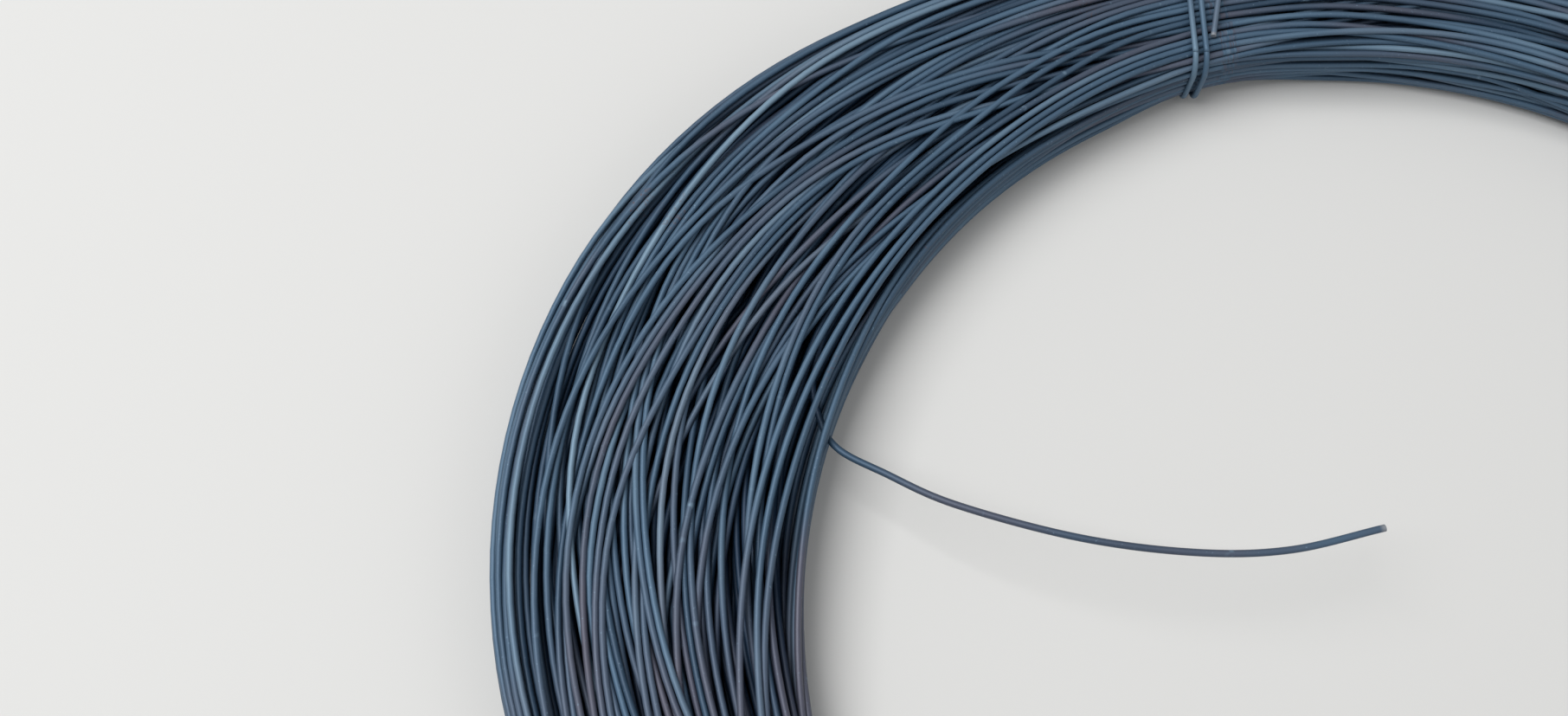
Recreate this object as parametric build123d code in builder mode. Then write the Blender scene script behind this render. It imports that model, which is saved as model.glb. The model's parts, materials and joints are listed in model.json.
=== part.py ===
"""Coil of 3 mm drawn steel wire, about 30 kg, lying flat and held by three ties of thinner wire.

The coil is one turned ring with its bore. Its turns show as flat ridges, each six turns wide, with grooves
between them, which run round its ends and its outside.
Between two ties the turns lie loose and the ring is at its widest. At each tie the turns are drawn in
towards the bore, and the tie lies in the seat that it presses into them.
Each tie is one wire that goes twice round the ring. Its two ends are twisted together on the outside:
one tail is folded back over the top, and the other is cut short.
The free end of the coil's own wire lies on the top of the ring and reaches out over the bore.

Lengths are in millimetres. The origin is the centre of the bore, half way up the coil, with Z up.
"""

from build123d import *

import os
from math import atan2, cos, degrees, pi, radians, sin

# The coil
wire_diameter = 3.0
bore_diameter = 510.0
loose_width = 134.0
tied_width = 86.0
coil_height = 40.0
bore_wall_height = 22.0
bore_edge_width = 9.0
ridge_width = 6 * wire_diameter
groove_width = 5.0
groove_depth = 2.5

# The outer side, drawn in at each tie
tie_count = 3
first_tie_angle = 104.0
waist_plan_radius = 700.0
side_depth = 24.0
side_ridges = 4
side_overlap = 1.5

# The ties, whose wire is twelve-sided, as a round one would take most of the part's faces
wire_sides = 12
tie_diameter = 2.6
tie_spacing = 5.0
tie_lean = -14.0
tie_clearance = 0.3
seat_depth = 3.0
seat_side_clearance = 0.4
inner_bend = 10.0
inner_bend_runs = 2
outer_bend_runs = 4

# The knot of a tie
knot_axis_height = 6.6
knot_bend_along = 3.4
knot_bend_across = 0.7
landing_along = 9.0
landing_height = 3.0
twist_radius = 1.7
twist_pitch = 9.0
twist_turns = 2
runs_per_twist_turn = 5
long_tail_length = 53.0
long_tail_root_across = 15.5
long_tail_landing_height = 7.6
long_tail_tip_across = 3.7
short_tail_length = 6.0

# The free end of the coil's wire, whose route and bends are given in bore radii
wire_end_angle = 163.6
wire_end_hold = 18.0
wire_end_route = [(-0.812, 0.171), (-0.373, 0.063), (-0.086, 0.125)]
wire_end_bends = [0.588, 0.549]
wire_end_clearance = 0.3

bore_radius = bore_diameter / 2
loose_radius = bore_radius + loose_width
tied_radius = bore_radius + tied_width
tied_middle_radius = bore_radius + tied_width / 2
tied_section_width = tied_width / cos(radians(tie_lean))
half_height = coil_height / 2
twist_length = twist_pitch * twist_turns
tie_angles = [first_tie_angle + 360 * number / tie_count for number in range(tie_count)]

# In plan the outer side is a waist arc at each tie and a lobe arc between two ties, each tangent to the next
half_pitch = 180 / tie_count
waist_offset = waist_plan_radius - tied_radius
lobe_gap = waist_plan_radius - loose_radius
lobe_offset = (waist_offset ** 2 - lobe_gap ** 2) / (2 * (lobe_gap - waist_offset * cos(radians(half_pitch))))
lobe_plan_radius = loose_radius - lobe_offset
waist_half_turn = degrees(atan2(
    lobe_offset * sin(radians(half_pitch)),
    waist_offset + lobe_offset * cos(radians(half_pitch)),
))
lobe_half_turn = half_pitch - waist_half_turn


def direction(angle):
    """Unit vector in the XY plane at an angle in degrees."""
    return Vector(cos(radians(angle)), sin(radians(angle)), 0)


def upright_plane(origin, angle):
    """Plane through an origin: its X points level at an angle, its Y up and its Z clockwise."""
    outwards = direction(angle)
    return Plane(origin=origin, x_dir=outwards, z_dir=outwards.cross(Vector(0, 0, 1)))


def tie_section_plane(tie_angle):
    """Upright plane of a tie, which leans across the middle of the tied section."""
    return upright_plane(direction(tie_angle) * tied_middle_radius, tie_angle + tie_lean)


def side_section(plan_radius):
    """Section of the ring's rounded outer side, which runs from its lower to its upper edge."""
    height = half_height + side_overlap
    inside = plan_radius - loose_width
    edge = plan_radius - side_depth
    points = [(inside, -height), (edge, -height)]
    for groove in range(1, side_ridges):
        middle = pi * (groove / side_ridges - 0.5)
        half_angle = groove_width / side_depth / 2
        for angle, depth in ((middle - half_angle, 0), (middle, groove_depth), (middle + half_angle, 0)):
            points.append((edge + (side_depth - depth) * cos(angle), (height - depth) * sin(angle)))
    return points + [(edge, height), (inside, height)]


def end_section():
    """Section of the bore and the two grooved ends, which runs down the bore from the top's outer edge."""
    first_radius = bore_radius + bore_edge_width
    last_radius = loose_radius - side_depth
    ridges = round((last_radius - first_radius) / ridge_width)
    wall_end = bore_wall_height / 2
    edge_rise = half_height - wall_end
    upper = [
        (bore_radius, wall_end),
        (first_radius - bore_edge_width * cos(pi / 4), wall_end + edge_rise * sin(pi / 4)),
        (first_radius, half_height),
    ]
    for ridge in range(1, ridges + 1):
        groove_radius = first_radius + (last_radius - first_radius) * ridge / ridges
        upper += [
            (groove_radius - groove_width / 2, half_height),
            (groove_radius, half_height - groove_depth),
            (groove_radius + groove_width / 2, half_height),
        ]
    upper.append((loose_radius + side_overlap, half_height))
    return upper[::-1] + [(radius, -height) for radius, height in upper]


def tied_outline(offset):
    """Corners of a line round the tied section, at a distance outside the floor of the tie's seat.

    It starts at the bottom of the rounded outer side and goes up, in, down and out.
    """
    half_width = tied_section_width / 2 - seat_depth
    outer_bend = half_height - seat_depth
    bends = [
        (half_width - outer_bend, 0, outer_bend, -90, 180, outer_bend_runs),
        (inner_bend - half_width, outer_bend - inner_bend, inner_bend, 90, 90, inner_bend_runs),
        (inner_bend - half_width, inner_bend - outer_bend, inner_bend, 180, 90, inner_bend_runs),
    ]
    points = []
    for centre_x, centre_y, bend, first_angle, turn, runs in bends:
        for run in range(runs + 1):
            ray = direction(first_angle + turn * run / runs) * (bend + offset)
            points.append((centre_x + ray.X, centre_y + ray.Y))
    return points


def knot_point(along, out, across):
    """Point near the knot, measured from the seat's floor at the middle of the upper outer bend."""
    outer_bend = half_height - seat_depth
    bend_centre = Vector(tied_section_width / 2 - seat_depth - outer_bend, 0, 0)
    place = bend_centre + direction(45) * (outer_bend + out) + direction(135) * along
    return (place.X, place.Y, across)


def twist_points(phase):
    """One of the two wires of the twist, in the direction in which both run along the ring."""
    points = []
    for run in range(twist_turns * runs_per_twist_turn + 1):
        turns = run / runs_per_twist_turn
        angle = 2 * pi * turns + phase
        points.append(knot_point(
            twist_radius * cos(angle),
            knot_axis_height + twist_radius * sin(angle),
            twist_length / 2 - twist_pitch * turns,
        ))
    return points


def knot_to_seat(side):
    """Places where a strand of the tie leaves the twist and lands in its seat: side is 1 or -1."""
    across = twist_length / 2 + knot_bend_across
    return [
        knot_point(side * knot_bend_along, knot_axis_height, -side * across),
        knot_point(side * landing_along, landing_height, -side * tie_spacing),
    ]


def tie_points():
    """Corners of a tie's wire in its section plane, from the tip of the long tail to the short tail."""
    outline = tied_outline(tie_clearance + tie_diameter / 2)
    top_corner = outer_bend_runs
    side_corner = outer_bend_runs // 2
    wraps = outline[top_corner:] + outline + outline[:side_corner + 1]
    steps = len(wraps) - 1
    wrap_points = [
        (x, y, tie_spacing * (2 * step / steps - 1))
        for step, (x, y) in enumerate(wraps)
    ]
    tail_x = outline[top_corner][0]
    tail_height = half_height + tie_clearance + tie_diameter / 2
    long_tail = [
        (tail_x - long_tail_length, tail_height, long_tail_tip_across),
        (tail_x, tail_height, long_tail_root_across),
        knot_point(landing_along, long_tail_landing_height, long_tail_root_across),
        knot_point(knot_bend_along, knot_axis_height, twist_length / 2 + knot_bend_across),
    ]
    short_tail = knot_point(
        -twist_radius,
        knot_axis_height + twist_radius,
        -twist_length / 2 - short_tail_length,
    )
    first_end = long_tail + twist_points(0) + knot_to_seat(1)
    second_end = knot_to_seat(-1)[::-1] + twist_points(pi) + [short_tail]
    return first_end + wrap_points + second_end


def save(node, name):
    """Label a finished piece and write it to its own file."""
    node.part.label = name
    export_step(node.part, f"parts/{name}.step")


os.makedirs("parts", exist_ok=True)

# The ring: the drawn-in outer side, then the bore and the ridged ends, then the seats of the ties
with BuildPart() as wire_coil:
    for tie_angle in tie_angles:
        lobe_angle = tie_angle + half_pitch
        waist = (direction(tie_angle) * -waist_offset, waist_plan_radius, tie_angle, waist_half_turn)
        lobe = (direction(lobe_angle) * lobe_offset, lobe_plan_radius, lobe_angle, lobe_half_turn)
        for centre, plan_radius, middle_angle, half_turn in (waist, lobe):
            with BuildSketch(upright_plane(centre, middle_angle - half_turn)):
                with BuildLine():
                    Polyline(*side_section(plan_radius), close=True)
                make_face()
            revolve(axis=Axis(centre, (0, 0, 1)), revolution_arc=2 * half_turn)
    with BuildSketch(Plane.XZ):
        with BuildLine():
            Polyline(*end_section(), close=True)
        make_face()
    revolve(axis=Axis.Z, mode=Mode.INTERSECT)
    for tie_angle in tie_angles:
        with BuildSketch(tie_section_plane(tie_angle)):
            Rectangle(tied_section_width + 2 * seat_depth, coil_height + 2 * seat_depth)
            with BuildLine():
                Polyline(*tied_outline(0), close=True)
            make_face(mode=Mode.SUBTRACT)
        seat_width = 2 * tie_spacing + tie_diameter + 2 * seat_side_clearance
        extrude(amount=seat_width / 2, both=True, mode=Mode.SUBTRACT)
save(wire_coil, "wire_coil")

# The ties
for number, tie_angle in enumerate(tie_angles, start=1):
    with BuildPart() as tie:
        with BuildLine(tie_section_plane(tie_angle)) as tie_path:
            Polyline(*tie_points())
        with BuildSketch(Plane(tie_path.line @ 0, z_dir=tie_path.line % 0)):
            RegularPolygon(tie_diameter / 2, side_count=wire_sides)
        sweep(path=tie_path.wires()[0], transition=Transition.RIGHT)
    save(tie, f"tie_{number}")

# The free end of the coil's wire
with BuildPart() as wire_end:
    route_start = direction(wire_end_angle) * (bore_radius + wire_end_hold)
    route_plane = Plane.XY.offset(half_height + wire_end_clearance + wire_diameter / 2)
    with BuildLine(route_plane) as wire_end_path:
        FilletPolyline(
            (route_start.X, route_start.Y),
            *[(bore_radius * x, bore_radius * y) for x, y in wire_end_route],
            radius=[bore_radius * bend for bend in wire_end_bends],
        )
    with BuildSketch(Plane(wire_end_path.line @ 0, z_dir=wire_end_path.line % 0)):
        RegularPolygon(wire_diameter / 2, side_count=wire_sides)
    sweep()
save(wire_end, "wire_end")
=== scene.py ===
"""Coil of drawn steel wire: nearly three hundred loose turns that three wire ties hold together.

The turns are one wire. Its path is laid out turn by turn, then settled by a small solver that pushes the
turns apart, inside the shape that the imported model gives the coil. In some places turns still overlap.

Lengths are in metres and angles in radians, unless a name or comment says otherwise.
"""

import json
import math

import bpy
import numpy as np
from mathutils import Matrix, Vector


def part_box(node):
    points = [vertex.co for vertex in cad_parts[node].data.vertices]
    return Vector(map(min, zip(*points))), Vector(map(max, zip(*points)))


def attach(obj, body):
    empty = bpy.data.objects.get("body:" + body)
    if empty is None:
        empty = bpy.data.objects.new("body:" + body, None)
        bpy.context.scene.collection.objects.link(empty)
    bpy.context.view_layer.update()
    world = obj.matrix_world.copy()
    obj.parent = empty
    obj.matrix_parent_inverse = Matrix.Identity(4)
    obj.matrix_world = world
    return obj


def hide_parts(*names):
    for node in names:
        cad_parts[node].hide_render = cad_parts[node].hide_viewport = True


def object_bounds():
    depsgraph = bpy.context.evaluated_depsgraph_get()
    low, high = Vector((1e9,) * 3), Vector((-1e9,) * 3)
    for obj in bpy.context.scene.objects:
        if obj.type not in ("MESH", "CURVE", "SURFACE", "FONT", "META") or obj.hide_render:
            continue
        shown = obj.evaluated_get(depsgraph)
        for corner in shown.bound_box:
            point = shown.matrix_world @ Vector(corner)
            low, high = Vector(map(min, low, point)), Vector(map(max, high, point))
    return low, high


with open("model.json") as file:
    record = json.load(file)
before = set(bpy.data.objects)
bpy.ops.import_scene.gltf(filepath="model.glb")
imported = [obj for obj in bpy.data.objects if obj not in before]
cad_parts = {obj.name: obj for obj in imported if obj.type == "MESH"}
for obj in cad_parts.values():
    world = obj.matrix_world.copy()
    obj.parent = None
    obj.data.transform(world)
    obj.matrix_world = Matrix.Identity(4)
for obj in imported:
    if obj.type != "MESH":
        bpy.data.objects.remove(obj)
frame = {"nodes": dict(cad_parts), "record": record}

bl_info = {
    "name": "Tied Wire Coil",
    "version": (1, 0, 0),
    "blender": (4, 5, 0),
    "location": "3D View > Sidebar > Wire Coil",
    "description": "Makes a coil of loose steel wire turns, its ties, its free end and a plain studio",
    "category": "Add Mesh",
}

# What the frame gives

CAD_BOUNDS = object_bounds()
MOUNTS = {mount["name"]: mount for mount in frame["record"]["mounts"]}
TIE_NODES = sorted(name for name in frame["nodes"] if name.startswith("tie_"))
BORE_RADIUS = MOUNTS["bore"]["dims"]["r_mm"] / 1000
HALF_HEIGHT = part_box("wire_coil")[1].z
END_LOW, END_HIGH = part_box("wire_end")
END_LEVEL = (END_LOW.z + END_HIGH.z) / 2
WIRE_RADIUS = (END_HIGH.z - END_LOW.z) / 2

TURN = 2 * math.pi
HALF_PITCH = math.pi / len(TIE_NODES)
UP = Vector((0, 0, 1))


# What a user would change

class CoilSizes(bpy.types.PropertyGroup):
    """Sizes of the turns and how loosely they lie."""

    wire_radius: bpy.props.FloatProperty(
        name="Wire radius", description="Radius of the coiled wire", default=WIRE_RADIUS, unit="LENGTH")
    tied_width: bpy.props.FloatProperty(
        name="Tied width", description="Width of the bundle of turns at a tie", default=0.086, unit="LENGTH")
    loose_width: bpy.props.FloatProperty(
        name="Loose width", description="Width of the bundle half way between ties", default=0.134,
        unit="LENGTH")
    waist_radius: bpy.props.FloatProperty(
        name="Waist radius", description="Radius of the outside in plan, where a tie draws it in",
        default=0.700, unit="LENGTH")
    seat_depth: bpy.props.FloatProperty(
        name="Seat depth", description="How far a tie presses into the bundle", default=0.003, unit="LENGTH")
    stations: bpy.props.IntProperty(
        name="Stations", description="Points along each settling turn, a multiple of the number of ties",
        default=96)
    points_a_turn: bpy.props.IntProperty(
        name="Points a turn", description="Points along each turn of the finished wire", default=200)
    wire_sides: bpy.props.IntProperty(
        name="Sides", description="Sides of a wire's section", default=6, min=3)
    strand_sway: bpy.props.FloatProperty(
        name="Strand sway", description="How far strands of turns wander sideways between ties",
        default=0.017, unit="LENGTH")
    wire_sway: bpy.props.FloatProperty(
        name="Wire sway", description="How far single turns wander from their strand", default=0.0022,
        unit="LENGTH")
    strays: bpy.props.FloatProperty(
        name="Strays", description="Share of the turns that wander four times as far", default=0.04,
        subtype="FACTOR")
    settling_steps: bpy.props.IntProperty(
        name="Settling steps", description="Steps of the solver that pushes turns apart", default=240)
    spring: bpy.props.FloatProperty(
        name="Spring", description="How far the turns spring outwards in one step", default=0.00002,
        precision=6, unit="LENGTH")
    # Painted shade: turns are painted darker the deeper they lie in the bundle, most at about this depth
    painted_shade_depth: bpy.props.FloatProperty(
        name="Dark depth", description="How deep in the bundle the turns are darkened by painted shade",
        default=0.010, unit="LENGTH")
    seed: bpy.props.IntProperty(name="Seed", description="Start of the random layout", default=9)


class TieSizes(bpy.types.PropertyGroup):
    """Sizes of the ties, which hold the turns together."""

    first_angle: bpy.props.FloatProperty(
        name="First tie", description="Where the first tie is, round from +X", default=math.radians(104),
        subtype="ANGLE")
    wire_radius: bpy.props.FloatProperty(
        name="Tie wire radius", description="Radius of the tie wire", default=0.0013, unit="LENGTH")
    spacing: bpy.props.FloatProperty(
        name="Strand spacing", description="Distance between the two strands", default=0.005, unit="LENGTH")
    lean: bpy.props.FloatProperty(
        name="Lean", description="How far a tie turns from the radius", default=math.radians(-14),
        subtype="ANGLE")
    clearance: bpy.props.FloatProperty(
        name="Clearance", description="Gap between a tie and the turns", default=0.0003, unit="LENGTH")
    twist_pitch: bpy.props.FloatProperty(
        name="Twist pitch", description="Length of one turn of the knot", default=0.009, unit="LENGTH")
    twist_turns: bpy.props.IntProperty(
        name="Twist turns", description="Turns in the knot", default=2)
    knot_height: bpy.props.FloatProperty(
        name="Knot height", description="From the turns below to the middle of the knot", default=0.0052,
        unit="LENGTH")
    long_tail: bpy.props.FloatProperty(
        name="Long tail", description="Length of the tail that is folded over the top", default=0.053,
        unit="LENGTH")


class WireColours(bpy.types.PropertyGroup):
    """Colours of the steel, of what has settled on it, and of the painted shade deep in the bundle."""

    dark_steel: bpy.props.FloatVectorProperty(
        name="Dark steel", description="Darkest turns", subtype="COLOR", default=(0.018, 0.045, 0.083))
    blue_steel: bpy.props.FloatVectorProperty(
        name="Blue steel", description="Most turns", subtype="COLOR", default=(0.064, 0.122, 0.192))
    pale_steel: bpy.props.FloatVectorProperty(
        name="Pale steel", description="Palest turns, scuffs and dust", subtype="COLOR",
        default=(0.168, 0.260, 0.348))
    brown_steel: bpy.props.FloatVectorProperty(
        name="Brown steel", description="Turns with a brown film", subtype="COLOR",
        default=(0.082, 0.085, 0.119))
    # Painted shade: the dark blue that turns deep in the bundle are painted with
    painted_shade_steel: bpy.props.FloatVectorProperty(
        name="Painted shade steel", description="Turns deep in the bundle", subtype="COLOR",
        default=(0.004, 0.022, 0.056))
    rust: bpy.props.FloatVectorProperty(
        name="Rust", description="Rust spots", subtype="COLOR", default=(0.14, 0.055, 0.028))
    cut_steel: bpy.props.FloatVectorProperty(
        name="Cut steel", description="Bright steel of a cut end", subtype="COLOR",
        default=(0.22, 0.24, 0.27))


class StudioSettings(bpy.types.PropertyGroup):
    """The floor, the lamps and the camera."""

    floor_colour: bpy.props.FloatVectorProperty(
        name="Floor", description="Colour of the floor", subtype="COLOR", default=(0.62, 0.62, 0.61))
    camera_place: bpy.props.FloatVectorProperty(
        name="Camera place", description="Where the camera stands", subtype="XYZ",
        default=(-0.263, -0.111, 0.620))
    camera_tilt: bpy.props.FloatProperty(
        name="Camera tilt", description="Turn of the camera from straight down", default=math.radians(19.8),
        subtype="ANGLE")
    camera_lens: bpy.props.FloatProperty(
        name="Lens", description="Focal length in millimetres on a 36 mm wide sensor", default=35.0)


# The space that the turns lie in

# How far along the coil a tie still presses the turns in
SEAT_REACH = 0.045
# Roundness of the bundle's inner corners, and how much less its outer ones have than half its height
INNER_BEND = 0.0090
OUTER_BEND_LOSS = 0.0005
# Least length that the way out is divided by
LEAST_CORNER = 1e-9


def from_nearest_tie(angle):
    """Angle to the nearest tie, for angles counted from a tie."""
    return np.abs((angle + HALF_PITCH) % (2 * HALF_PITCH) - HALF_PITCH)


def outer_radius(sizes, angle):
    """Radius of the coil's outside at angles from a tie: waist arcs at the ties, lobe arcs between them."""
    angle = from_nearest_tie(angle)
    waist_radius = sizes.waist_radius
    waist_offset = waist_radius - BORE_RADIUS - sizes.tied_width
    gap = waist_radius - BORE_RADIUS - sizes.loose_width
    lobe_offset = (waist_offset ** 2 - gap ** 2) / (2 * (gap - waist_offset * math.cos(HALF_PITCH)))
    lobe_radius = BORE_RADIUS + sizes.loose_width - lobe_offset
    waist_turn = math.atan2(
        lobe_offset * math.sin(HALF_PITCH), waist_offset + lobe_offset * math.cos(HALF_PITCH))
    waist_end = math.atan2(
        waist_radius * math.sin(waist_turn), waist_radius * math.cos(waist_turn) - waist_offset)
    waist = np.sqrt(waist_radius ** 2 - (waist_offset * np.sin(angle)) ** 2) - waist_offset * np.cos(angle)
    from_lobe = HALF_PITCH - angle
    lobe = (np.sqrt(lobe_radius ** 2 - (lobe_offset * np.sin(from_lobe)) ** 2)
            + lobe_offset * np.cos(from_lobe))
    return np.where(angle < waist_end, waist, lobe)


def bundle_shape(sizes):
    """Limits of the wire's centre line round the coil, as arrays with one value for each station."""
    angle = TURN * np.arange(sizes.stations) / sizes.stations
    half_width = (outer_radius(sizes, angle) - BORE_RADIUS) / 2
    from_tie = from_nearest_tie(angle) * (BORE_RADIUS + half_width)
    inset = sizes.wire_radius + sizes.seat_depth * np.exp(-(from_tie / SEAT_REACH) ** 3)
    return {
        "middle": BORE_RADIUS + half_width,
        "half_width": half_width - inset,
        "half_height": HALF_HEIGHT - inset,
        "inner_bend": np.full(sizes.stations, INNER_BEND),
        "outer_bend": HALF_HEIGHT - inset - OUTER_BEND_LOSS,
    }


def middles_and_halves(shape):
    """Middle of the bundle's section and half its size at each station, both as radius and height."""
    middles = np.stack((shape["middle"], np.zeros_like(shape["middle"])), axis=-1)
    halves = np.stack((shape["half_width"], shape["half_height"]), axis=-1)
    return middles, halves


def distance_outside(points, shape):
    """How far points are outside the bundle's rounded section, and the way out, both by station."""
    across = points[..., 0] - shape["middle"]
    up = points[..., 1]
    bend = np.where(across < 0, shape["inner_bend"], shape["outer_bend"])
    past_x = np.abs(across) - (shape["half_width"] - bend)
    past_z = np.abs(up) - (shape["half_height"] - bend)
    corner_x, corner_z = np.maximum(past_x, 0), np.maximum(past_z, 0)
    corner = np.hypot(corner_x, corner_z)
    distance = corner + np.minimum(np.maximum(past_x, past_z), 0) - bend
    never_zero = np.maximum(corner, LEAST_CORNER)
    way = np.stack((np.sign(across) * corner_x / never_zero, np.sign(up) * corner_z / never_zero), axis=-1)
    return distance, way


def keep_inside(paths, shape):
    """Moves points that have left the bundle's section back to its edge."""
    distance, way = distance_outside(paths, shape)
    paths -= np.maximum(distance, 0)[..., None] * way


# Where the turns lie

# Distance between turns that lie side by side at a tie, in wire radii
PACKING_PITCH = 2.02
# How far outside the bundle a place may be by rounding alone
ROUNDING = 1e-5
# The top row: its share of the places, how even they are from 0 to 1, and its dips as a share of the pitch
TOP_ROW_SHARE = 0.86
TOP_ROW_EVENNESS = 0.6
TOP_ROW_DIP = 0.3
# Turns in a strand, and how many places in their row strands move from tie to tie
FEWEST_TURNS, MOST_TURNS = 3, 8
STRAND_SHUFFLE = 0.85
# How tightly a strand's turns keep together: by chance from the least to 1, and less at lower heights
LEAST_TIGHTNESS = 0.1
MIDDLE_TIGHTNESS = 0.6
TIGHTNESS_RISE = 0.5
# How far the lowest strands wander, as a share of the highest, and how much their widest place shifts
LOWEST_FREEDOM = 0.5
SWELL_SKEW = 0.3
# How far strands rise or sink between ties, in wire radii
STRAND_LIFT = 1.5
# The least move across between ties, in half widths, for which a turn passes over or under others
LEAST_CROSSING = 0.1
# How many times as far as the other turns strays wander
STRAY_FACTOR = 4


def tie_rows(sizes, shape, rng):
    """Rows of places for the turns at a tie, packed as closely as they go, from the bottom to the top.

    The top row lies looser and less even. The wire runs to and fro through the rows, and the last row is the
    one below the top. The wire ends there, a quarter of the row away from the bore.
    """
    pitch = PACKING_PITCH * sizes.wire_radius
    rise = pitch * math.sqrt(3) / 2
    at_tie = {key: value[0] for key, value in shape.items()}
    rows = []
    for row in range(int(2 * at_tie["half_height"] / rise) + 1):
        height = row * rise - at_tie["half_height"]
        first = at_tie["middle"] - at_tie["half_width"] + (row % 2) * pitch / 2
        across = first + pitch * np.arange(int(2 * at_tie["half_width"] / pitch) + 1)
        places = np.stack((across, np.full_like(across, height)), axis=-1)
        distance, _ = distance_outside(places, at_tie)
        places = places[distance < ROUNDING]
        if len(places):
            rows.append(places)
    top = rows[-1]
    loose = np.sort(rng.choice(len(top), int(TOP_ROW_SHARE * len(top)), replace=False))
    even = np.linspace(0, len(top) - 1, len(loose))
    across = top[0, 0] + pitch * (TOP_ROW_EVENNESS * even + (1 - TOP_ROW_EVENNESS) * loose)
    dips = rng.uniform(0, TOP_ROW_DIP * pitch, len(loose))
    rows[-1] = np.stack((across, top[0, 1] - dips), axis=-1)
    rows[-2:] = rows[:-3:-1]
    for row in range(len(rows) - 1, -1, -2):
        rows[row] = rows[row][::-1]
    rows[-1] = np.roll(rows[-1], len(rows[-1]) // 4, axis=0)
    return rows


def lay_out_strands(rows, ties, rng):
    """Place of each turn at each tie, and the strand that each turn belongs to.

    A strand is a few turns side by side in a row. Strands change places in their row from tie to tie, so
    they cross between ties.
    """
    places = [[] for _ in range(ties)]
    strand_of_turn = []
    for row_places in rows:
        widths = []
        while sum(widths) < len(row_places):
            width = int(rng.integers(FEWEST_TURNS, MOST_TURNS + 1))
            widths.append(min(width, len(row_places) - sum(widths)))
        starts = np.concatenate(([0], np.cumsum(widths)))
        for tie in range(ties):
            here = np.empty((len(row_places), 2))
            filled = 0
            for strand in np.argsort(np.arange(len(widths)) + rng.normal(0, STRAND_SHUFFLE, len(widths))):
                here[starts[strand]:starts[strand + 1]] = row_places[filled:filled + widths[strand]]
                filled += widths[strand]
            places[tie].append(here)
        first = strand_of_turn[-1] + 1 if strand_of_turn else 0
        strand_of_turn += list(first + np.repeat(np.arange(len(widths)), widths))
    return np.stack([np.concatenate(tie_places) for tie_places in places]), np.array(strand_of_turn)


def fan_out(places, strand_of_turn, middles, halves, tightness):
    """Where turns that pass a tie at given places would lie at a row of stations.

    The bundle widens between ties. A strand keeps its place in it, and a tight strand widens less.
    """
    strands = strand_of_turn[-1] + 1
    sums = np.stack([np.bincount(strand_of_turn, places[:, axis]) for axis in (0, 1)], axis=-1)
    strand_middle = (sums / np.bincount(strand_of_turn)[:, None])[strand_of_turn]
    from_strand = places - strand_middle
    half_strand = np.zeros(strands)
    np.maximum.at(half_strand, strand_of_turn, np.abs(from_strand[:, 0]))
    half_strand = np.stack((half_strand[strand_of_turn], np.zeros(len(places))), axis=-1)[:, None]
    reach = (halves - half_strand) / (halves[:1] - half_strand)
    widening = 1 + (halves / halves[:1] - 1) * (1 - tightness)[:, None, None]
    return middles + reach * (strand_middle - middles[0])[:, None] + widening * from_strand[:, None]


def lay_out_paths(sizes, shape, rng):
    """Radius and height of every turn at every station, before the turns settle.

    Between ties, gaps open between tight strands. The lower strands are looser and fill the bundle.
    """
    ties = len(TIE_NODES)
    span = sizes.stations // ties
    places, strand_of_turn = lay_out_strands(tie_rows(sizes, shape, rng), ties, rng)
    turns, strands = len(strand_of_turn), strand_of_turn[-1] + 1
    middles, halves = (values[:span] for values in middles_and_halves(shape))
    tightness = rng.uniform(LEAST_TIGHTNESS, 1, strands)[strand_of_turn]
    tightness *= np.clip(MIDDLE_TIGHTNESS + TIGHTNESS_RISE * places[0, :, 1] / halves[0, 1], 0, 1)
    freedom = LOWEST_FREEDOM + (1 - LOWEST_FREEDOM) * np.linspace(0, 1, strands)[:, None]
    along = np.arange(span) / span
    ease = (3 * along ** 2 - 2 * along ** 3)[None, :, None]
    paths = np.empty((turns, sizes.stations, 2))
    for tie in range(ties):
        here = slice(tie * span, (tie + 1) * span)
        start = places[tie]
        end = places[tie + 1] if tie + 1 < ties else np.concatenate((places[0][1:], start[-1:]))
        paths[:, here] = ((1 - ease) * fan_out(start, strand_of_turn, middles, halves, tightness)
                          + ease * fan_out(end, strand_of_turn, middles, halves, tightness))
        skew = np.exp(rng.normal(0, SWELL_SKEW, (strands, 1)))
        swell = np.sin(math.pi * along[None] ** skew) ** 2
        sway = freedom * rng.normal(0, sizes.strand_sway, (strands, 1)) * swell
        lift = rng.normal(0, STRAND_LIFT * sizes.wire_radius, (strands, 1)) * swell
        paths[:, here, 0] += sway[strand_of_turn]
        paths[:, here, 1] += lift[strand_of_turn]
        outwards = (end[:, :1] - start[:, :1]) / halves[0, 0]
        crossing = np.sign(outwards) * (np.abs(outwards) > LEAST_CROSSING)
        paths[:, here, 1] += 2 * sizes.wire_radius * crossing * np.sin(math.pi * along) ** 2
        stray = np.where(rng.random((turns, 1, 1)) < sizes.strays, STRAY_FACTOR, 1)
        for waves in (1, 2, 3):
            wobble = stray * rng.normal(0, sizes.wire_sway / waves, (turns, 1, 2))
            paths[:, here] += wobble * (np.sin(math.pi * along) * np.sin(waves * math.pi * along))[:, None]
    return paths, strand_of_turn


# How the turns settle

# Turns that may touch soon are looked for once in so many steps, within a reach in wire diameters
STEPS_A_SEARCH = 9
SEARCH_REACH = 1.7
# Least distance between turns that a push is divided by
LEAST_DISTANCE = 1e-7
# More than one, because the mean of a turn's pushes is too little to part it from each neighbour
PUSH_FACTOR = 1.6
SMOOTHING_PASSES = 3
# What the fourth difference of the points, large in a sharp bend, is divided by to ease the bend
BEND_DIVISOR = 12
# Steps at the end in which turns are only pushed apart and kept inside
CLOSING_STEPS = 5
# How far below the top the last turn stays, in wire diameters
LAST_TURN_DEPTH = 3


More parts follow.
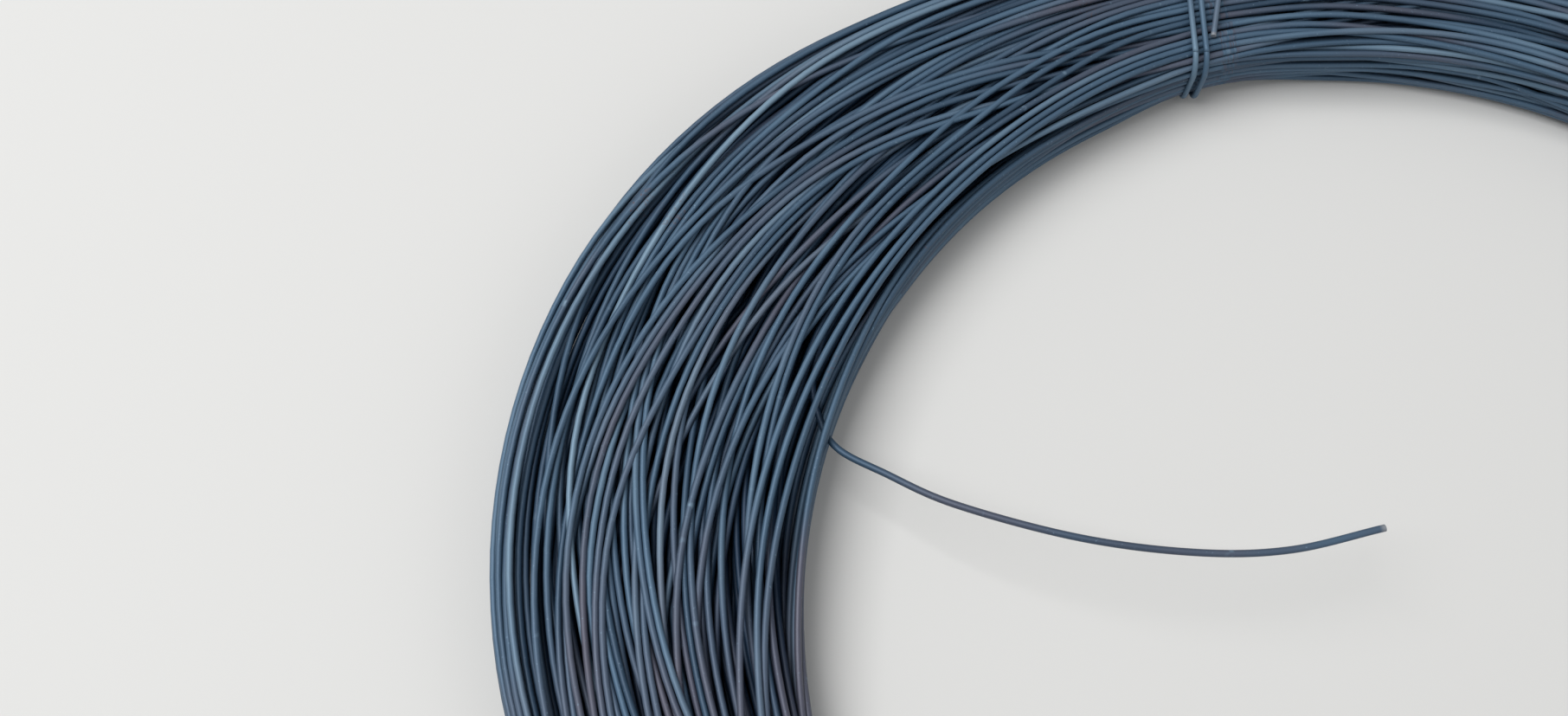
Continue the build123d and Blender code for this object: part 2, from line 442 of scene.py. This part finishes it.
def near_pairs(points, reach):
    """Pairs of turns that come within reach of each other, station by station, as flat indices."""
    turns, stations = points.shape[:2]
    first, second = [], []
    for station in range(stations):
        here = points[:, station].astype(np.float32)
        gap_x = np.abs(here[:, None, 0] - here[None, :, 0])
        gap_z = np.abs(here[:, None, 1] - here[None, :, 1])
        low, high = np.nonzero(np.triu((gap_x < reach) & (gap_z < reach), 1))
        first.append(low * stations + station)
        second.append(high * stations + station)
    return np.concatenate(first), np.concatenate(second)


def pushes(points, pairs, diameter):
    """Sum and number of the pushes that turns which lie too close give each other."""
    first, second = pairs
    gap = points[second] - points[first]
    distance = np.maximum(np.hypot(gap[:, 0], gap[:, 1]), LEAST_DISTANCE)
    overlap = diameter - distance
    touching = overlap > 0
    first, second = first[touching], second[touching]
    push = gap[touching] * (overlap[touching] / distance[touching] / 2)[:, None]
    count = len(points)
    total = np.stack([
        np.bincount(second, push[:, axis], count) - np.bincount(first, push[:, axis], count)
        for axis in (0, 1)
    ], axis=-1)
    return total, np.bincount(first, minlength=count) + np.bincount(second, minlength=count)


def spread_along(pushes_given):
    """Spreads pushes along the wire, because a stiff wire gives way in a long bend."""
    for _ in range(SMOOTHING_PASSES):
        pushes_given[1:-1] = (pushes_given[:-2] + 2 * pushes_given[1:-1] + pushes_given[2:]) / 4
    return pushes_given


def half_way(points):
    """Points half way along each run of the wire."""
    middle = points.copy()
    middle[:-1] = (points[:-1] + points[1:]) / 2
    return middle


def settle(paths, shape, sizes):
    """Lets the turns spring outwards and pushes them apart, so that they lie beside and over each other.

    They spring up and down everywhere, and sideways mostly near the bundle's sides. Sharp bends in the wire
    ease. The last turn, which the free end comes from, stays below the top.
    """
    diameter = 2 * sizes.wire_radius
    turns, stations = paths.shape[:2]
    # The same values as one chain, so a change to the wire is a change to the paths
    wire = paths.reshape(-1, 2)
    middles, halves = middles_and_halves(shape)
    steps = sizes.settling_steps // 1
    for step in range(steps):
        if step % STEPS_A_SEARCH == 0:
            pairs = near_pairs(paths, SEARCH_REACH * diameter)
            middle_pairs = near_pairs(half_way(wire).reshape(turns, stations, 2), SEARCH_REACH * diameter)
        total, number = pushes(wire, pairs, diameter)
        middle_total, middle_number = pushes(half_way(wire), middle_pairs, diameter)
        total += middle_total
        number += middle_number
        total[1:] += middle_total[:-1]
        number[1:] += middle_number[:-1]
        wire += PUSH_FACTOR * spread_along(total / np.maximum(number, 1)[:, None])
        if step < steps - CLOSING_STEPS:
            spread = (paths - middles) / halves
            paths += sizes.spring * np.stack((spread[..., 0] ** 3 / 2, spread[..., 1]), axis=-1)
            bend = np.zeros_like(wire)
            bend[2:-2] = wire[:-4] - 4 * wire[1:-3] + 6 * wire[2:-2] - 4 * wire[3:-1] + wire[4:]
            wire -= bend / BEND_DIVISOR
            paths[-1, :, 1] = np.minimum(paths[-1, :, 1], shape["half_height"] - LAST_TURN_DEPTH * diameter)
        keep_inside(paths, shape)


# Wires from paths

# Most triangles in one piece of the turns
MOST_TRIANGLES = 195000
# Points on a curve for each given one, between which its length is measured straight
FINE_POINTS = 12


def wire_nodes():
    """Geometry Nodes tree that turns a chain of edges into a round wire."""
    tree = bpy.data.node_groups.new("round_wire", "GeometryNodeTree")
    for name, kind in (
        ("Path", "NodeSocketGeometry"), ("Wire Radius", "NodeSocketFloat"),
        ("Sides", "NodeSocketInt"), ("Material", "NodeSocketMaterial"),
    ):
        tree.interface.new_socket(name=name, in_out="INPUT", socket_type=kind)
    tree.interface.new_socket(name="Wire", in_out="OUTPUT", socket_type="NodeSocketGeometry")
    nodes, links = tree.nodes, tree.links
    entry = nodes.new("NodeGroupInput")
    exit_node = nodes.new("NodeGroupOutput")
    curve = nodes.new("GeometryNodeMeshToCurve")
    section = nodes.new("GeometryNodeCurvePrimitiveCircle")
    sweep = nodes.new("GeometryNodeCurveToMesh")
    smooth = nodes.new("GeometryNodeSetShadeSmooth")
    realize = nodes.new("GeometryNodeRealizeInstances")
    finish = nodes.new("GeometryNodeSetMaterial")
    sweep.inputs["Fill Caps"].default_value = True
    links.new(entry.outputs["Path"], curve.inputs["Mesh"])
    links.new(entry.outputs["Sides"], section.inputs["Resolution"])
    links.new(entry.outputs["Wire Radius"], section.inputs["Radius"])
    links.new(curve.outputs["Curve"], sweep.inputs["Curve"])
    links.new(section.outputs["Curve"], sweep.inputs["Profile Curve"])
    links.new(sweep.outputs["Mesh"], smooth.inputs["Geometry"])
    links.new(smooth.outputs["Geometry"], realize.inputs["Geometry"])
    links.new(realize.outputs["Geometry"], finish.inputs["Geometry"])
    links.new(entry.outputs["Material"], finish.inputs["Material"])
    links.new(finish.outputs["Geometry"], exit_node.inputs["Wire"])
    return tree


def run_along(points):
    """Length of the chain of points up to each of them."""
    return np.concatenate(([0], np.cumsum(np.linalg.norm(np.diff(points, axis=0), axis=1))))


def smooth_curve(points, places):
    """Points at places along a smooth curve through the given points, counted in points."""
    padded = np.concatenate((2 * points[:1] - points[1:2], points, 2 * points[-1:] - points[-2:-1]))
    start = np.minimum(places.astype(int), len(points) - 2)
    part = (places - start)[:, None]
    before, here, after, beyond = (padded[start + step] for step in range(4))
    return here + part / 2 * (
        after - before
        + part * (2 * before - 5 * here + 4 * after - beyond + part * (3 * (here - after) + beyond - before))
    )


def even_curve(points, spacing):
    """Evenly spaced points along a smooth curve through the given ones."""
    fine = smooth_curve(points, np.linspace(0, len(points) - 1, FINE_POINTS * len(points)))
    run = run_along(fine)
    places = np.linspace(0, run[-1], int(run[-1] / spacing) + 2)
    return np.stack([np.interp(places, run, fine[:, axis]) for axis in range(3)], axis=-1)


def cut_ends(points, reach):
    """How much of the bright cut steel shows at each point of a wire: all at its ends, none further in."""
    run = run_along(points)
    return np.clip(1 - np.minimum(run, run[-1] - run) / reach, 0, 1)


def turned(radius, height, angle):
    """Points at radii, heights and angles round the bore."""
    return np.stack((radius * np.cos(angle), radius * np.sin(angle), height), axis=-1)


def add_object(name, data):
    """Puts a mesh, a lamp or a camera into the scene."""
    made = bpy.data.objects.new(name, data)
    bpy.context.scene.collection.objects.link(made)
    return made


def wire_piece(name, points, radius, sides, material, marks, node):
    """Makes a wire along a chain of points, which replaces a node of the model.

    The marks are values along the wire for its material to read: tone, cut and depth. The length up to each
    point is added to them.
    """
    chain = bpy.data.meshes.new(name + "_path")
    chain.from_pydata(points.tolist(), [(place, place + 1) for place in range(len(points) - 1)], [])
    for key, values in {**marks, "along": run_along(points)}.items():
        attribute = chain.attributes.new(key, "FLOAT", "POINT")
        attribute.data.foreach_set("value", np.asarray(values, dtype=np.float32))
    source = add_object(name + "_path", chain)
    tree = bpy.data.node_groups.get("round_wire") or wire_nodes()
    modifier = source.modifiers.new("wire", "NODES")
    modifier.node_group = tree
    settings = {"Wire Radius": radius, "Sides": sides, "Material": material}
    for item in tree.interface.items_tree:
        if item.in_out == "INPUT" and item.name in settings:
            modifier[item.identifier] = settings[item.name]
    bpy.context.view_layer.update()
    evaluated = source.evaluated_get(bpy.context.evaluated_depsgraph_get())
    mesh = bpy.data.meshes.new_from_object(evaluated)
    mesh.name = name
    source.modifiers.clear()
    bpy.data.objects.remove(source)
    bpy.data.meshes.remove(chain)
    piece = add_object(name, mesh)
    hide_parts(node)
    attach(piece, "root")


# The turns

# How pale strands are, from 0 to 1, and how much strands and single turns differ in it
STRAND_TONE = 0.45
STRAND_TONE_SPREAD = 0.12
TURN_TONE_SPREAD = 0.16


def turn_tones(strand_of_turn, rng):
    """How pale each turn is, from 0 to 1. Turns of one strand are much alike."""
    strand_tone = rng.normal(STRAND_TONE, STRAND_TONE_SPREAD, strand_of_turn[-1] + 1)
    turn_tone = rng.normal(0, TURN_TONE_SPREAD, len(strand_of_turn))
    return np.clip(strand_tone[strand_of_turn] + turn_tone, 0, 1)


def make_turns(sizes, line, depth, tones, material):
    """Makes the coiled wire in a few pieces one after the other, because of the limit on triangles.

    The line has a point for each station. The depth in the bundle, which sets the painted shade, is given
    for each of them.
    """
    turns, per_turn, stations = len(tones), sizes.points_a_turn, sizes.stations
    parts = math.ceil(turns * per_turn * sizes.wire_sides * 2 / MOST_TRIANGLES)
    bounds = np.linspace(0, turns, parts + 1).astype(int)
    for part, (start, stop) in enumerate(zip(bounds[:-1], bounds[1:]), start=1):
        places = np.arange(start * per_turn, stop * per_turn + 1) * stations / per_turn
        places = places[places <= len(line) - 1]
        marks = {
            "tone": tones[np.minimum((places / stations).astype(int), turns - 1)],
            # The depth in the bundle sets the painted shade
            "depth": np.interp(places, np.arange(len(depth)), depth) / sizes.painted_shade_depth,
            "cut": np.zeros(len(places)),
        }
        wire_piece(f"turns_{part}", smooth_curve(line, places), sizes.wire_radius, sizes.wire_sides,
                   material, marks, "wire_coil")


# The free end

# The station of the last turn, counted from the first tie, where the free end leaves the bundle
LEAVING_STATION = 9
FREE_END_SPACING = 0.003
FREE_END_SIDES = 16
FREE_END_TONE = 0.3
FREE_END_CUT = 0.003
# Plan of its route, and how far each point lies below the level of the end's node
FREE_END_ROUTE = (
    (-0.2410, 0.1390, 0.0155),
    (-0.2505, 0.1040, 0.0180),
    (-0.2478, 0.0835, 0.0180),
    (-0.2405, 0.0695, 0.0152),
    (-0.2214, 0.0575, 0.0102),
    (-0.1935, 0.0430, 0.0052),
    (-0.1450, 0.0283, 0.0010),
    (-0.0990, 0.0220, 0.0),
    (-0.0610, 0.0230, 0.0),
    (-0.0220, 0.0320, 0.0),
)


def make_free_end(sizes, last_points, material):
    """Makes the free end: on from the last points of the turns, out from under them and over the bore."""
    route = np.array([(x, y, END_LEVEL - drop) for x, y, drop in FREE_END_ROUTE])
    line = even_curve(np.concatenate((last_points, route)), FREE_END_SPACING)
    among_turns = np.minimum(np.hypot(line[:, 0], line[:, 1]) - BORE_RADIUS, HALF_HEIGHT - line[:, 2])
    marks = {
        "tone": np.full(len(line), FREE_END_TONE),
        # Painted shade where the free end lies among the turns
        "depth": np.maximum(among_turns, 0) / sizes.painted_shade_depth,
        "cut": cut_ends(line, FREE_END_CUT),
    }
    wire_piece("free_end", line, sizes.wire_radius, FREE_END_SIDES, material, marks, "wire_end")


# The ties

TIE_INNER_BEND = 0.010
# Degrees between points of the line round the turns
OUTLINE_STEP = 15
# Points of that line whose place the way to the knot takes
KNOT_GAP = 5
# Distance of the twisted wires from the knot's middle, in wire radii, and points on one turn of the twist
TWIST_RADIUS = 1.12
TWIST_POINTS = 8
# How far across the tie the long tail starts and ends, and how much the ties differ in that
TAIL_ROOT, TAIL_ROOT_SPREAD = 0.0140, 0.0008
TAIL_TIP, TAIL_TIP_SPREAD = 0.0037, 0.0004
# One tail in three, by chance, starts this much further across
WIDER_ROOT = 0.001
TIE_SPACING = 0.0011
TIE_SIDES = 14
TIE_TONE = 0.4
TIE_TONE_SHIFT = 0.25
TIE_CUT = 0.0022


def tie_outline(sizes, coil_sizes):
    """Line that a tie's wire follows once round the turns, in the tie's plane, from its outer top inwards.

    Also gives the middle of the round outer side and its radius.
    """
    half_width = coil_sizes.tied_width / math.cos(sizes.lean) / 2 - coil_sizes.seat_depth
    outer = HALF_HEIGHT - coil_sizes.seat_depth
    inner = TIE_INNER_BEND
    offset = sizes.clearance + sizes.wire_radius
    points = []
    for middle, bend, start, turn in (
        ((half_width - outer, 0), outer, 90, 0),
        ((inner - half_width, outer - inner), inner, 90, 90),
        ((inner - half_width, inner - outer), inner, 180, 90),
        ((half_width - outer, 0), outer, -90, 180 - OUTLINE_STEP),
    ):
        for angle in np.radians(np.arange(start, start + turn + 1, OUTLINE_STEP)):
            points.append((middle[0] + (bend + offset) * math.cos(angle),
                           middle[1] + (bend + offset) * math.sin(angle)))
    return np.array(points), half_width - outer, outer


def tie_path(sizes, coil_sizes, rng):
    """Line of a tie's wire: long tail, twist, twice round the turns, back through the twist, short tail.

    The points of the tails and between the knot and the turns are given one by one.
    """
    outline, bend_middle, bend = tie_outline(sizes, coil_sizes)
    slant = math.sqrt(0.5)

    def by_knot(along, out, across):
        """Point near the knot: along the coil's outer side, out from the turns and across the tie."""
        reach = bend + out
        return (bend_middle + slant * (reach - along), slant * (reach + along), across)

    knot = sizes.knot_height
    half_twist = sizes.twist_pitch * sizes.twist_turns / 2
    twist_radius = sizes.wire_radius * TWIST_RADIUS
    twists = []
    for phase in (0, math.pi):
        twists.append([
            by_knot(twist_radius * math.cos(TURN * turn + phase),
                    knot + twist_radius * math.sin(TURN * turn + phase),
                    half_twist - sizes.twist_pitch * turn)
            for turn in np.arange(sizes.twist_turns * TWIST_POINTS + 1) / TWIST_POINTS
        ])
    round_twice = np.concatenate((outline, outline))
    steps = len(round_twice)
    advance = sizes.spacing * (2 * np.arange(steps) / steps - 1)
    wraps = [(x, y, across) for (x, y), across in zip(round_twice, advance)][:steps - KNOT_GAP]
    first_x, top = outline[0]
    tail_root = rng.normal(TAIL_ROOT, TAIL_ROOT_SPREAD)
    tail_tip = rng.normal(TAIL_TIP, TAIL_TIP_SPREAD)
    if rng.integers(3) == 0:
        tail_root += WIDER_ROOT
    long_tail = [
        (first_x - sizes.long_tail, top + 0.0004, tail_tip),
        (first_x - sizes.long_tail * 0.5, top + 0.0022, (tail_tip + tail_root) / 2),
        (first_x - 0.004, top + 0.0026, tail_root * 0.94),
        by_knot(0.011, knot + 0.0014, tail_root),
        by_knot(0.0045, knot + 0.0008, half_twist + 0.0026),
    ]
    first_landing = [
        by_knot(0.0045, knot - 0.0004, -half_twist - 0.0006),
        by_knot(0.0115, 0.0028, -sizes.spacing - 0.0006),
    ]
    second_landing = [
        by_knot(-0.0095, 0.0026, sizes.spacing + 0.0004),
        by_knot(-0.0040, knot - 0.0004, half_twist + 0.0006),
    ]
    short_tail = [
        by_knot(-0.0024, knot + 0.0020, -half_twist - 0.0030),
        by_knot(-0.0030, knot + 0.0034, -half_twist - 0.0062),
    ]
    return np.array(long_tail + twists[0] + first_landing + wraps + second_landing + twists[1] + short_tail)


def make_tie(number, node, sizes, coil_sizes, rng, material):
    """Makes one tie in its plane, which leans across the middle of the tied turns."""
    angle = sizes.first_angle + TURN * number / len(TIE_NODES)
    middle = Vector((math.cos(angle), math.sin(angle), 0)) * (BORE_RADIUS + coil_sizes.tied_width / 2)
    outwards = Vector((math.cos(angle + sizes.lean), math.sin(angle + sizes.lean), 0))
    plane = np.array(Matrix((outwards, UP, outwards.cross(UP))))
    points = np.array(middle) + even_curve(tie_path(sizes, coil_sizes, rng), TIE_SPACING) @ plane
    marks = {
        "tone": np.full(len(points), TIE_TONE),
        "depth": np.zeros(len(points)),
        "cut": cut_ends(points, TIE_CUT),
    }
    wire_piece(f"tie_wire_{number + 1}", points, sizes.wire_radius, TIE_SIDES, material, marks, node)


# Materials

# Shades at which the steel has each of its three colours, and how far streaks change the shade
DARK_SHADE, BLUE_SHADE, PALE_SHADE = 0.0, 0.55, 1.05
STREAK_SHADE = 0.25
# Painted light on the outer turns: how far from the bore's wall it starts and is strongest, and how much
# paler it makes them
PALER_FROM, PALEST_FROM = 0.08, 0.13
OUTER_PAINTED_LIGHT = 0.14
# The brown patch by the bore: its middle, the distances from there where it starts to fade and ends, and how
# much it adds to the patterns of the film
PATCH_MIDDLE = Vector((-0.265, -0.085, 0.0))
PATCH_CORE, PATCH_REACH = 0.03, 0.15
PATCH_FILM = 0.13
# The steel's least and greatest roughness
SMOOTHEST, ROUGHEST = 0.47, 0.76
METALLIC = 0.3


class Nodes:
    """A material's nodes, with short ways to add the few kinds that the wires need."""

    def __init__(self, name):
        material = bpy.data.materials.new(name)
        material.use_nodes = True
        self.material = material
        self.tree = material.node_tree
        self.shader = self.tree.nodes["Principled BSDF"]

    def add(self, kind, settings=(), **inputs):
        """Adds a node, sets its properties, and sets or links its inputs by name."""
        node = self.tree.nodes.new(kind)
        for key, value in dict(settings).items():
            setattr(node, key, value)
        for key, value in inputs.items():
            self.give(node.inputs[key.replace("_", " ")], value)
        return node

    def give(self, socket, value):
        """Links an output to a socket, or sets the socket's value."""
        if isinstance(value, bpy.types.NodeSocket):
            self.tree.links.new(value, socket)
        else:
            socket.default_value = value

    def math(self, operation, first, second):
        """Result of a math node."""
        node = self.add("ShaderNodeMath", {"operation": operation})
        self.give(node.inputs[0], first)
        self.give(node.inputs[1], second)
        return node.outputs[0]

    def length(self, vector):
        """Length of a vector."""
        return self.add("ShaderNodeVectorMath", {"operation": "LENGTH"}, Vector=vector).outputs["Value"]

    def mix(self, factor, first, second):
        """Blend of two colours, which a mix node has as its inputs 6 and 7 and its output 2."""
        node = self.add("ShaderNodeMix", {"data_type": "RGBA"})
        self.give(node.inputs[0], factor)
        self.give(node.inputs[6], first)
        self.give(node.inputs[7], second)
        return node.outputs[2]

    def ramp(self, value, low, high, out_low=0.0, out_high=1.0):
        """Value mapped from one range to another, clamped."""
        node = self.add("ShaderNodeMapRange", {"clamp": True})
        for place, item in enumerate((value, low, high, out_low, out_high)):
            self.give(node.inputs[place], item)
        return node.outputs[0]

    def noise(self, vector, scale, detail=2.0, roughness=0.5):
        """Noise pattern over a vector."""
        node = self.add("ShaderNodeTexNoise", Vector=vector, Scale=scale, Detail=detail, Roughness=roughness)
        return node.outputs["Fac"]

    def mark(self, name):
        """Value that each wire carries along it."""
        return self.add("ShaderNodeAttribute", {"attribute_name": name}).outputs["Fac"]

    def wire_noise(self, along_scale, tone_scale, detail=2.0, roughness=0.5):
        """Noise pattern along each wire. The tone keeps neighbouring turns from having the same pattern."""
        thread = self.add(
            "ShaderNodeCombineXYZ",
            X=self.math("MULTIPLY", self.mark("along"), along_scale),
            Y=self.math("MULTIPLY", self.mark("tone"), tone_scale),
        )
        return self.noise(thread.outputs[0], 1.0, detail, roughness)


def rgba(colour):
    """Colour with full opacity."""
    return (*colour, 1.0)


def steel_colour(steel, place, streak, colours, tone_shift):
    """Colour of the bare steel: the tone of each turn with streaks along it, and painted light that makes
    the outer turns paler.
    """
    from_middle = steel.length(place)
    # Painted light: turns far from the bore's wall are made paler
    outside = steel.ramp(
        from_middle, BORE_RADIUS + PALER_FROM, BORE_RADIUS + PALEST_FROM, out_high=OUTER_PAINTED_LIGHT)
    streaks = steel.ramp(streak, 0.3, 0.7, out_low=-STREAK_SHADE, out_high=STREAK_SHADE)
    shade = steel.math("ADD", steel.mark("tone"), tone_shift)
    shade = steel.math("ADD", shade, streaks)
    shade = steel.math("ADD", shade, outside)
    blueness = steel.ramp(shade, DARK_SHADE, BLUE_SHADE)
    base = steel.mix(blueness, rgba(colours.dark_steel), rgba(colours.blue_steel))
    return steel.mix(steel.ramp(shade, BLUE_SHADE, PALE_SHADE), base, rgba(colours.pale_steel))


def brown_film(steel, place):
    """Where brown film lies: on stretches of turns here and there, and on most of one patch by the bore."""
    patch = steel.add("ShaderNodeMapping", Vector=place, Location=-PATCH_MIDDLE)
    from_patch = steel.length(patch.outputs[0])
    more = steel.ramp(from_patch, PATCH_CORE, PATCH_REACH, out_low=PATCH_FILM, out_high=0.0)
    stretches = steel.wire_noise(along_scale=1.7, tone_scale=47.0)
    regions = steel.noise(place, 11.0)
    return steel.math(
        "MULTIPLY",
        steel.ramp(steel.math("ADD", stretches, more), 0.48, 0.64),
        steel.ramp(steel.math("ADD", regions, more), 0.4, 0.62),
    )


def rust_spots(steel, place):
    """Where rust spots lie: fine ones, in a few regions."""
    regions = steel.noise(place, 13.0, detail=3.0)
    spots = steel.noise(place, 520.0, roughness=0.7)
    return steel.math("MULTIPLY", steel.ramp(regions, 0.62, 0.72), steel.ramp(spots, 0.56, 0.66))


def scuffs(steel, place):
    """Where the steel is rubbed pale: in short marks along the turns."""
    marks = steel.wire_noise(along_scale=70.0, tone_scale=61.0, roughness=0.7)
    breaks = steel.noise(place, 300.0, detail=1.0)
    return steel.math("MULTIPLY", steel.ramp(marks, 0.68, 0.76), steel.ramp(breaks, 0.45, 0.6))


def dust(steel, place):
    """Where dust lies: in specks that let half of the steel show through."""
    return steel.math("MULTIPLY", steel.ramp(steel.noise(place, 900.0, detail=1.0), 0.7, 0.78), 0.5)


def steel_material(name, colours, tone_shift):
    """Dull drawn steel with film, rust spots, scuffs and dust, painted shade deep in the bundle, and bright
    where cut.
    """
    steel = Nodes(name)
    place = steel.add("ShaderNodeTexCoord").outputs["Object"]
    streak = steel.wire_noise(along_scale=9.0, tone_scale=83.0, detail=3.0)
    rusty = rust_spots(steel, place)
    base = steel_colour(steel, place, streak, colours, tone_shift)
    for amount, colour in (
        (brown_film(steel, place), colours.brown_steel),
        (rusty, colours.rust),
        (scuffs(steel, place), colours.pale_steel),
        (dust(steel, place), colours.pale_steel),
        # Painted shade: the deeper a point lies in the bundle, the more it takes the dark blue of the
        # painted shade
        (steel.ramp(steel.mark("depth"), 0.15, 0.9, out_high=0.9), colours.painted_shade_steel),
        (steel.ramp(steel.mark("cut"), 0.1, 0.7), colours.cut_steel),
    ):
        base = steel.mix(amount, base, rgba(colour))
    steel.give(steel.shader.inputs["Base Color"], base)
    roughness = steel.ramp(steel.math("ADD", streak, rusty), 0.3, 1.2, out_low=SMOOTHEST, out_high=ROUGHEST)
    steel.give(steel.shader.inputs["Roughness"], roughness)
    steel.give(steel.shader.inputs["Metallic"], METALLIC)
    grain = steel.add("ShaderNodeBump", Strength=0.12, Distance=0.0004, Height=steel.noise(place, 1400.0))
    steel.give(steel.shader.inputs["Normal"], grain.outputs[0])
    return steel.material


# The studio

# Half the side of the square floor
FLOOR_REACH = 6.0
FLOOR_ROUGHNESS = 0.9
WORLD_STRENGTH = 0.4
# Square lamps that look at the origin, their power in watts
LAMPS = {
    "key_lamp": {"place": Vector((-1.6, 0.45, 2.7)), "size": 2.3, "power": 95.0},
    "fill_lamp": {"place": Vector((2.2, -1.4, 2.2)), "size": 2.0, "power": 14.0},
}


def make_floor(colour):
    """Makes the plain floor that the coil lies on."""
    mesh = bpy.data.meshes.new("floor")
    level = CAD_BOUNDS[0][2]
    corners = [(x * FLOOR_REACH, y * FLOOR_REACH, level) for x, y in ((-1, -1), (1, -1), (1, 1), (-1, 1))]
    mesh.from_pydata(corners, [], [(0, 1, 2, 3)])
    surface = Nodes("floor_surface")
    surface.give(surface.shader.inputs["Base Color"], rgba(colour))
    surface.give(surface.shader.inputs["Roughness"], FLOOR_ROUGHNESS)
    mesh.materials.append(surface.material)
    add_object("floor", mesh)


def light_studio():
    """Lights the studio by a white world and its lamps."""
    world = bpy.data.worlds.new("studio_world")
    world.use_nodes = True
    background = world.node_tree.nodes["Background"]
    background.inputs["Color"].default_value = (1.0, 1.0, 1.0, 1.0)
    background.inputs["Strength"].default_value = WORLD_STRENGTH
    bpy.context.scene.world = world
    for name, settings in LAMPS.items():
        lamp = bpy.data.lights.new(name, "AREA")
        lamp.size = settings["size"]
        lamp.energy = settings["power"]
        holder = add_object(name, lamp)
        holder.location = settings["place"]
        holder.rotation_euler = (-settings["place"]).to_track_quat("-Z", "Y").to_euler()


def place_camera(settings):
    """Puts the camera where the photograph was taken from."""
    camera = bpy.data.cameras.new("camera")
    camera.lens = settings.camera_lens
    camera.sensor_width = 36.0
    camera.clip_start = 0.01
    viewer = add_object("camera", camera)
    viewer.location = settings.camera_place
    viewer.rotation_euler = (settings.camera_tilt, 0.0, 0.0)
    bpy.context.scene.camera = viewer


# The operators, one for each group of pieces

class WindTurns(bpy.types.Operator):
    """Lays out the turns of wire, lets them settle and makes them and their free end."""

    bl_idname = "wire_coil.wind_turns"
    bl_label = "Wind Turns"

    def execute(self, context):
        sizes = context.scene.coil_sizes
        rng = np.random.default_rng(sizes.seed)
        shape = bundle_shape(sizes)
        paths, strand_of_turn = lay_out_paths(sizes, shape, rng)
        settle(paths, shape, sizes)
        # How deep each point lies in the bundle, which sets the painted shade
        depth = -distance_outside(paths, shape)[0].reshape(-1)
        tones = turn_tones(strand_of_turn, rng)
        turns, stations = paths.shape[:2]
        wire = paths.reshape(-1, 2)
        angles = context.scene.tie_sizes.first_angle + TURN * np.arange(turns * stations) / stations
        last_station = (turns - 1) * stations + LEAVING_STATION
        line = turned(wire[:, 0], wire[:, 1], angles)[:last_station + 1]
        material = steel_material("drawn_steel", context.scene.wire_colours, 0.0)
        make_turns(sizes, line, depth, tones, material)
        make_free_end(sizes, line[-3:], material)
        return {"FINISHED"}


class FastenTies(bpy.types.Operator):
    """Makes the ties, each a wire that goes twice round the turns and is twisted together."""

    bl_idname = "wire_coil.fasten_ties"
    bl_label = "Fasten Ties"

    def execute(self, context):
        sizes, coil_sizes = context.scene.tie_sizes, context.scene.coil_sizes
        rng = np.random.default_rng(coil_sizes.seed)
        material = steel_material("tie_steel", context.scene.wire_colours, TIE_TONE_SHIFT)
        for number, node in enumerate(TIE_NODES):
            make_tie(number, node, sizes, coil_sizes, rng, material)
        return {"FINISHED"}


class BuildStudio(bpy.types.Operator):
    """Makes the floor, the lamps, the world and the camera."""

    bl_idname = "wire_coil.build_studio"
    bl_label = "Build Studio"

    def execute(self, context):
        settings = context.scene.studio_settings
        make_floor(settings.floor_colour)
        light_studio()
        place_camera(settings)
        context.scene.view_settings.view_transform = "Standard"
        return {"FINISHED"}


class CoilPanel(bpy.types.Panel):
    """Lists the operators in the sidebar."""

    bl_idname = "VIEW3D_PT_wire_coil"
    bl_label = "Wire Coil"
    bl_space_type = "VIEW_3D"
    bl_region_type = "UI"
    bl_category = "Wire Coil"

    def draw(self, context):
        for operator in OPERATORS:
            self.layout.operator(operator.bl_idname)


OPERATORS = (WindTurns, FastenTies, BuildStudio)
SETTINGS = {
    "coil_sizes": CoilSizes,
    "tie_sizes": TieSizes,
    "wire_colours": WireColours,
    "studio_settings": StudioSettings,
}


def register():
    """Registers the classes and puts their settings on the scene."""
    for made in (*SETTINGS.values(), *OPERATORS, CoilPanel):
        bpy.utils.register_class(made)
    for name, group in SETTINGS.items():
        setattr(bpy.types.Scene, name, bpy.props.PointerProperty(type=group))


def unregister():
    """Takes the settings off the scene and unregisters the classes."""
    for name in SETTINGS:
        delattr(bpy.types.Scene, name)
    for made in reversed((*SETTINGS.values(), *OPERATORS, CoilPanel)):
        bpy.utils.unregister_class(made)


def main():
    """Makes the whole scene."""
    register()
    bpy.ops.wire_coil.wind_turns()
    bpy.ops.wire_coil.fasten_ties()
    bpy.ops.wire_coil.build_studio()


if __name__ == "__main__":
    main()
